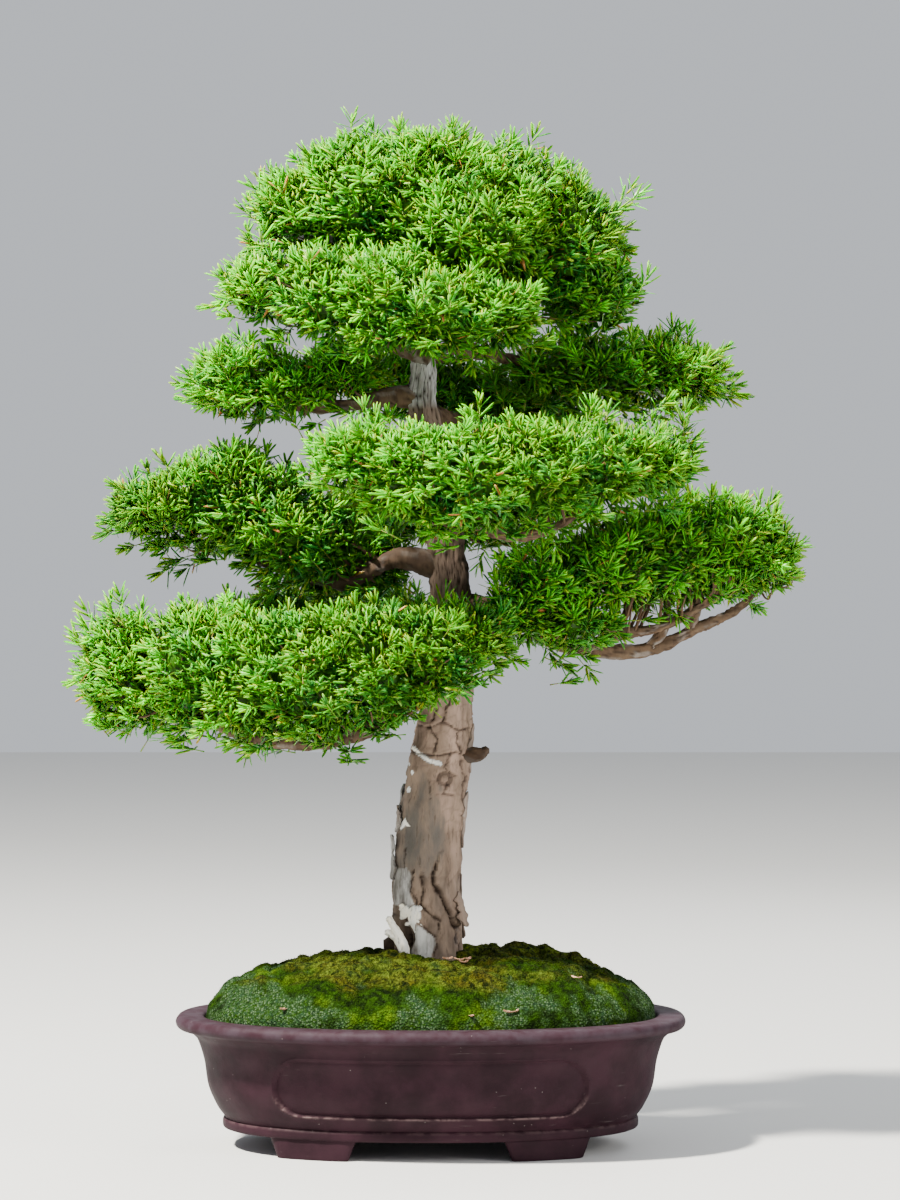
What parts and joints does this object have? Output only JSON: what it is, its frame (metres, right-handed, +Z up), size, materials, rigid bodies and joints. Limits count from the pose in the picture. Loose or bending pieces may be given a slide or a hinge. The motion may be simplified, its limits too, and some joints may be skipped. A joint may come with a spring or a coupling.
{
  "type": "yew bonsai",
  "caption": "Yew bonsai with tiered needle pads on a bare curved trunk, growing from a mossy mound in a shallow oval stoneware pot on four feet.",
  "frame": {"origin": "on the ground under the middle of the whole plant and pot", "axes": "+Z up the trunk, +X to the right in the picture, -Y towards its viewer"},
  "size_m": [0.6426, 0.3631, 0.9143],
  "materials": {
    "stoneware": "unglazed purple-brown stoneware, slightly worn at the rim",
    "drain_plastic": "black plastic mesh",
    "clip_wire": "annealed bonsai wire, brown anodised",
    "grit": "coarse loose grit",
    "earth": "dark granular bonsai soil",
    "moss": "living moss in green and grey-green cushions",
    "bark": "tan-grey plated yew bark with bare dead wood",
    "needles": "soft green yew needles"
  },
  "bodies": {
    "root": {"pot": "stoneware", "drain_screen_left": "drain_plastic", "drain_screen_right": "drain_plastic", "screen_clip_left": "clip_wire", "screen_clip_right": "clip_wire", "drainage_grit": "grit", "soil": "earth", "moss": "moss", "tree_wood": "bark", "foliage_crown": "needles", "foliage_upper_left": "needles", "foliage_third_left": "needles", "foliage_upper_right": "needles", "foliage_back_upper": "needles", "foliage_mid_left": "needles", "foliage_front_middle": "needles", "foliage_back_middle": "needles", "foliage_lower_right": "needles", "foliage_lower_left": "needles", "foliage_back_low": "needles"}
  },
  "joints": []
}
